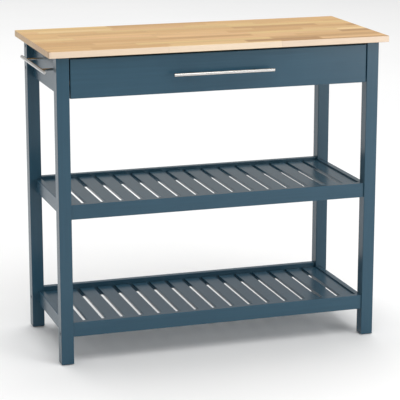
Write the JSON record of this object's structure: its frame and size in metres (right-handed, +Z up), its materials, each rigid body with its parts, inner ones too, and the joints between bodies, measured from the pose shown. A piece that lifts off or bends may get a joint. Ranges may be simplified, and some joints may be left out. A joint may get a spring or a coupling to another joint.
{
  "type": "kitchen island cart",
  "caption": "Open kitchen island cart on square legs: solid wood worktop, wide drawer with bar pull, towel bar on the left end and slatted shelves.",
  "frame": {"origin": "on the floor, under the middle of the whole cart's bounding box", "axes": "+Z up, +X to the right along the worktop's length, -Y towards the front, where the drawer opens"},
  "size_m": [1, 0.452, 0.9],
  "materials": {
    "worktop_wood": "satin oiled butcher block",
    "painted_wood": "satin slate-blue paint",
    "drawer_wood": "clear-lacquered pale wood",
    "nickel_steel": "brushed nickel",
    "zinc_steel": "zinc plated",
    "dark_steel": "black oxide",
    "glide_plastic": "matte"
  },
  "bodies": {
    "frame": {"worktop": "worktop_wood", "leg_front_left": "painted_wood", "leg_front_right": "painted_wood", "leg_back_left": "painted_wood", "leg_back_right": "painted_wood", "leg_glides": "glide_plastic", "apron_left": "painted_wood", "apron_right": "painted_wood", "apron_back": "painted_wood", "front_stretcher": "painted_wood", "mid_rail_front": "painted_wood", "mid_rail_back": "painted_wood", "mid_rail_left": "painted_wood", "mid_rail_right": "painted_wood", "mid_slat_01": "painted_wood", "mid_slat_02": "painted_wood", "mid_slat_03": "painted_wood", "mid_slat_04": "painted_wood", "mid_slat_05": "painted_wood", "mid_slat_06": "painted_wood", "mid_slat_07": "painted_wood", "mid_slat_08": "painted_wood", "mid_slat_09": "painted_wood", "mid_slat_10": "painted_wood", "mid_slat_11": "painted_wood", "mid_slat_12": "painted_wood", "mid_slat_13": "painted_wood", "mid_slat_14": "painted_wood", "mid_slat_15": "painted_wood", "mid_slat_16": "painted_wood", "lower_rail_front": "painted_wood", "lower_rail_back": "painted_wood", "lower_rail_left": "painted_wood", "lower_rail_right": "painted_wood", "lower_slat_01": "painted_wood", "lower_slat_02": "painted_wood", "lower_slat_03": "painted_wood", "lower_slat_04": "painted_wood", "lower_slat_05": "painted_wood", "lower_slat_06": "painted_wood", "lower_slat_07": "painted_wood", "lower_slat_08": "painted_wood", "lower_slat_09": "painted_wood", "lower_slat_10": "painted_wood", "lower_slat_11": "painted_wood", "lower_slat_12": "painted_wood", "lower_slat_13": "painted_wood", "lower_slat_14": "painted_wood", "lower_slat_15": "painted_wood", "lower_slat_16": "painted_wood", "drawer_runners": "drawer_wood", "towel_bar": "nickel_steel", "frame_screws": "dark_steel"},
    "drawer": {"drawer_front": "painted_wood", "drawer_side_left": "drawer_wood", "drawer_side_right": "drawer_wood", "drawer_back": "drawer_wood", "drawer_bottom": "drawer_wood", "drawer_pull": "nickel_steel", "pull_screws": "zinc_steel"}
  },
  "joints": [
    {"name": "drawer_slide", "type": "slide", "parent": "frame", "child": "drawer", "axis": [0, -1, 0], "range_m": [0, 0.28]}
  ]
}
